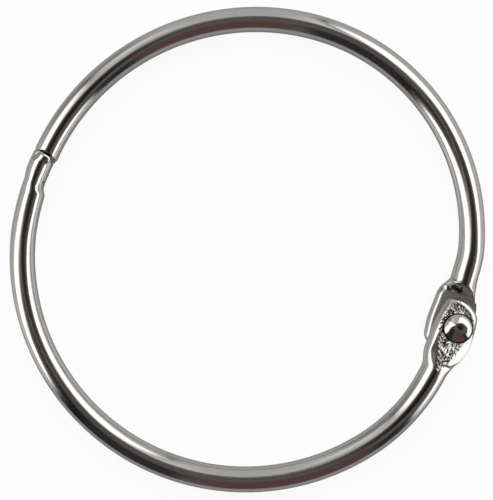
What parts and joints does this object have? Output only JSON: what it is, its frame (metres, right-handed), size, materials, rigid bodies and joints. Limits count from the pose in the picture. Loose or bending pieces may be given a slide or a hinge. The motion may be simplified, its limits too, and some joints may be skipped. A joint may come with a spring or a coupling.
{
  "type": "binder ring",
  "caption": "Hinged loose-leaf binder ring of bright plated round wire, with struck, lapped ends on a domed rivet and a tongue-and-socket snap latch.",
  "frame": {"origin": "centre of the closed ring, on the surface that it lies on", "axes": "+X points to the hinge rivet, +Y to the middle of the tongue half, +Z along the rivet to its domed head"},
  "size_m": [0.058, 0.0591, 0.0039],
  "materials": {
    "tongue_half_nickel": "bright nickel-plated steel wire",
    "socket_half_nickel": "bright nickel-plated steel wire, hammered on the leaf's face",
    "rivet_nickel": "bright nickel-plated steel"
  },
  "bodies": {
    "tongue_half": {"tongue_half_ring": "tongue_half_nickel", "hinge_rivet": "rivet_nickel"},
    "socket_half": {"socket_half_ring": "socket_half_nickel"}
  },
  "joints": [
    {"name": "hinge_swing", "type": "hinge", "parent": "tongue_half", "child": "socket_half", "pos_m": [0.02736, 0, 0.00172], "axis": [0, 0, 1], "range_deg": [0, 145]}
  ]
}
